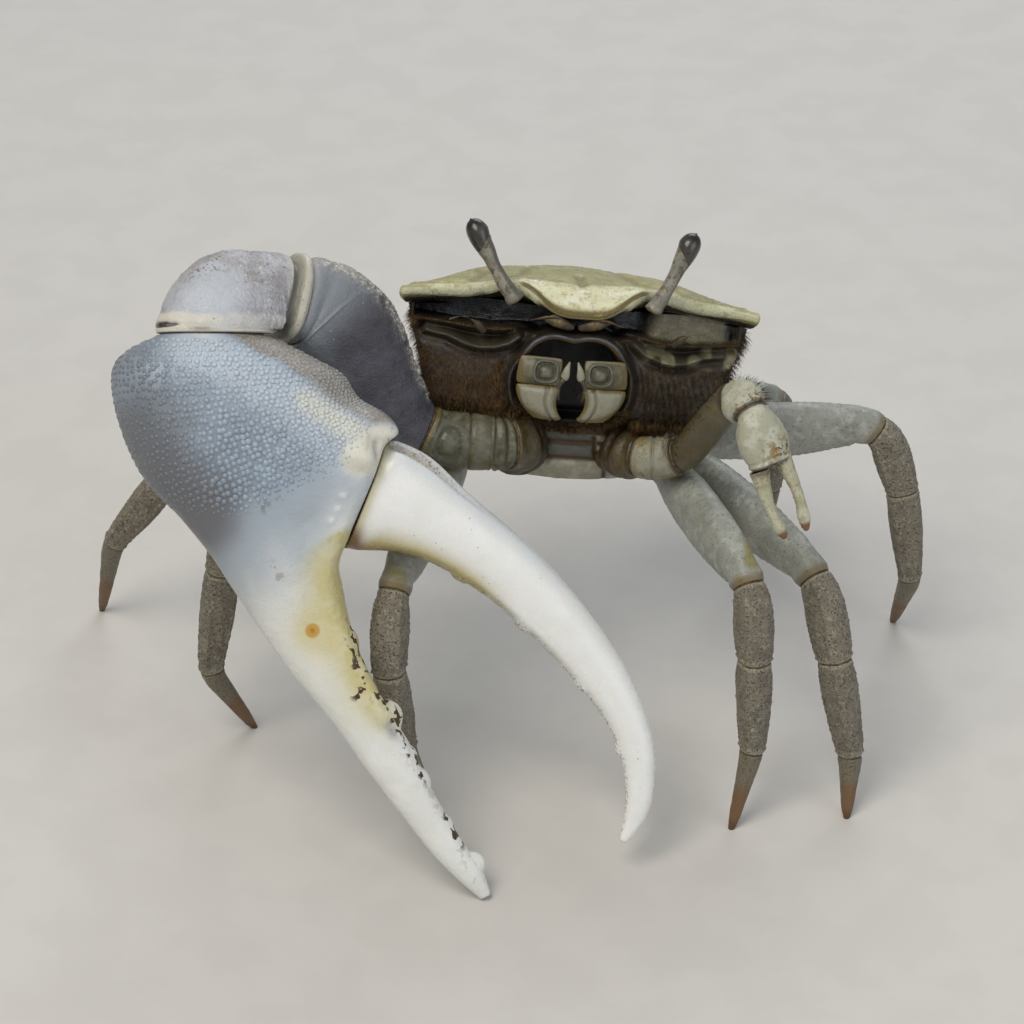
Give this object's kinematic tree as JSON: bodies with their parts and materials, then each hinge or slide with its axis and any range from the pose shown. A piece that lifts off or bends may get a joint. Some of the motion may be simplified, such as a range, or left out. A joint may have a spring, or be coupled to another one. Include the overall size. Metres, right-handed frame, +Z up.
{
  "type": "fiddler crab",
  "caption": "Life-size male fiddler crab standing on its walking legs, with one very large claw lowered in front and a small feeding claw on the other side.",
  "frame": {"origin": "on the ground, at the middle of the crab's bounding box seen from above", "axes": "+Z up, the crab faces -Y, its left side is at +X and its large right claw at -X; X is the longest extent and Z the shortest"},
  "size_m": [0.0622, 0.0454, 0.0393],
  "materials": {
    "carapace": "olive-yellow shell, satin, finely pitted",
    "body": "dark brown to grey shell with short brown pile",
    "abdomen": "pale grey-buff shell, satin",
    "mouthpart": "olive-grey shell, damp and slightly glossy",
    "stalk": "grey-olive shell",
    "cornea": "dark facetted eye surface, glossy",
    "claw_shell": "blue-grey shell with pale raised pustules, satin",
    "claw_finger": "ivory shell, smooth and softly glossy",
    "claw_arm": "dark purple-grey shell with a pale toothed edge",
    "leg_upper": "pale grey shell with fine cross wrinkles",
    "leg_lower": "mottled grey-brown shell with sparse bristles",
    "toe": "orange-brown horny tip",
    "pincer": "mottled buff and brown shell"
  },
  "bodies": {
    "root": {"abdomen": "abdomen", "antenna_left": "stalk", "antenna_right": "stalk", "carapace": "carapace", "claw_carpus": "claw_shell", "claw_dactyl": "claw_finger", "claw_ischium": "mouthpart", "claw_manus": "claw_shell", "claw_merus": "claw_arm", "cornea_left": "cornea", "cornea_right": "cornea", "eyestalk_left": "stalk", "eyestalk_right": "stalk", "maxilliped_left": "mouthpart", "maxilliped_right": "mouthpart", "p2_left_carpus": "leg_lower", "p2_left_dactyl": "toe", "p2_left_merus": "leg_upper", "p2_left_propodus": "leg_lower", "p2_right_carpus": "leg_lower", "p2_right_dactyl": "toe", "p2_right_merus": "leg_upper", "p2_right_propodus": "leg_lower", "p3_left_carpus": "leg_lower", "p3_left_dactyl": "toe", "p3_left_merus": "leg_upper", "p3_left_propodus": "leg_lower", "p3_right_carpus": "leg_lower", "p3_right_dactyl": "toe", "p3_right_merus": "leg_upper", "p3_right_propodus": "leg_lower", "p4_left_carpus": "leg_lower", "p4_left_dactyl": "toe", "p4_left_merus": "leg_upper", "p4_left_propodus": "leg_lower", "p4_right_carpus": "leg_lower", "p4_right_dactyl": "toe", "p4_right_merus": "leg_upper", "p4_right_propodus": "leg_lower", "p5_left_carpus": "leg_lower", "p5_left_dactyl": "toe", "p5_left_merus": "leg_upper", "p5_left_propodus": "leg_lower", "p5_right_carpus": "leg_lower", "p5_right_dactyl": "toe", "p5_right_merus": "leg_upper", "p5_right_propodus": "leg_lower", "pincer_carpus": "pincer", "pincer_dactyl": "pincer", "pincer_ischium": "pincer", "pincer_manus": "pincer", "pincer_merus": "pincer", "thorax": "body"}
  },
  "joints": []
}
